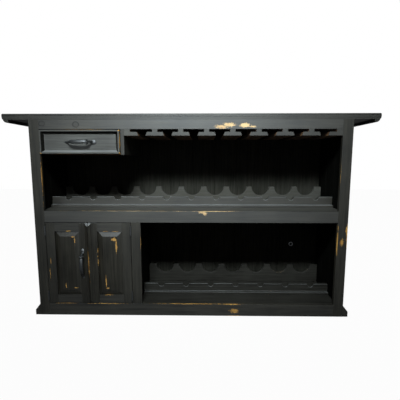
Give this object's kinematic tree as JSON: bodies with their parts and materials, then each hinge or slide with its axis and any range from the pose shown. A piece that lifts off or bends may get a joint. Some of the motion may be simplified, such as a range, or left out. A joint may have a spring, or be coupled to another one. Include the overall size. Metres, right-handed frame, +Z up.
{
  "type": "bar counter",
  "caption": "Rustic bar counter with an overhanging top, open shelves with bottle racks, hanging glass runners, a drawer and a cupboard with paired doors.",
  "frame": {"origin": "on the floor, under the middle of the counter's box", "axes": "+X along the counter, to the right for the bartender; +Y towards the customers; +Z up"},
  "size_m": [1.9, 0.558, 1.067],
  "materials": {
    "black_paint": "charcoal black paint on pine, rubbed through to bare wood along edges",
    "bare_wood": "raw pine, lightly stained",
    "forged_iron": "black forged iron"
  },
  "bodies": {
    "carcass": {"bar_top": "black_paint", "end_moulding_left": "black_paint", "end_moulding_right": "black_paint", "customer_moulding": "black_paint", "side_panel_left": "black_paint", "side_panel_right": "black_paint", "customer_panel": "black_paint", "mid_shelf": "black_paint", "floor_board": "black_paint", "partition": "black_paint", "left_stile": "black_paint", "right_stile": "black_paint", "top_rail": "black_paint", "bottom_rail": "black_paint", "mid_rail": "black_paint", "mullion": "black_paint", "base_moulding_left": "black_paint", "base_moulding_right": "black_paint", "base_moulding_customer": "black_paint", "drawer_divider": "black_paint", "drawer_floor": "bare_wood", "glass_runner_1": "bare_wood", "glass_runner_2": "bare_wood", "glass_runner_3": "bare_wood", "glass_runner_4": "bare_wood", "glass_runner_5": "bare_wood", "glass_runner_6": "bare_wood", "glass_runner_7": "bare_wood", "glass_runner_8": "bare_wood", "glass_runner_9": "bare_wood", "upper_rack_neck_rail": "black_paint", "upper_rack_body_rail": "black_paint", "lower_rack_neck_rail": "black_paint", "lower_rack_body_rail": "black_paint", "left_door_frame_leaf_upper": "forged_iron", "left_door_frame_leaf_lower": "forged_iron", "right_door_frame_leaf_upper": "forged_iron", "right_door_frame_leaf_lower": "forged_iron"},
    "left_door": {"left_door_hinge_stile": "black_paint", "left_door_meeting_stile": "black_paint", "left_door_top_rail": "black_paint", "left_door_bottom_rail": "black_paint", "left_door_panel": "black_paint", "left_door_door_leaf_upper": "forged_iron", "left_door_door_leaf_lower": "forged_iron", "door_pull": "forged_iron"},
    "right_door": {"right_door_hinge_stile": "black_paint", "right_door_meeting_stile": "black_paint", "right_door_top_rail": "black_paint", "right_door_bottom_rail": "black_paint", "right_door_panel": "black_paint", "right_door_door_leaf_upper": "forged_iron", "right_door_door_leaf_lower": "forged_iron"},
    "drawer": {"drawer_front": "black_paint", "drawer_moulding": "black_paint", "drawer_side_left": "bare_wood", "drawer_side_right": "bare_wood", "drawer_back": "bare_wood", "drawer_bottom": "bare_wood", "drawer_pull": "forged_iron"}
  },
  "joints": [
    {"name": "left_door_swing", "type": "hinge", "parent": "carcass", "child": "left_door", "pos_m": [-0.76325, -0.2454, 0.289], "axis": [0, 0, -1], "range_deg": [0, 110]},
    {"name": "right_door_swing", "type": "hinge", "parent": "carcass", "child": "right_door", "pos_m": [-0.31225, -0.2454, 0.289], "axis": [0, 0, 1], "range_deg": [0, 110]},
    {"name": "drawer_slide", "type": "slide", "parent": "carcass", "child": "drawer", "axis": [0, -1, 0], "range_m": [0, 0.24]}
  ]
}
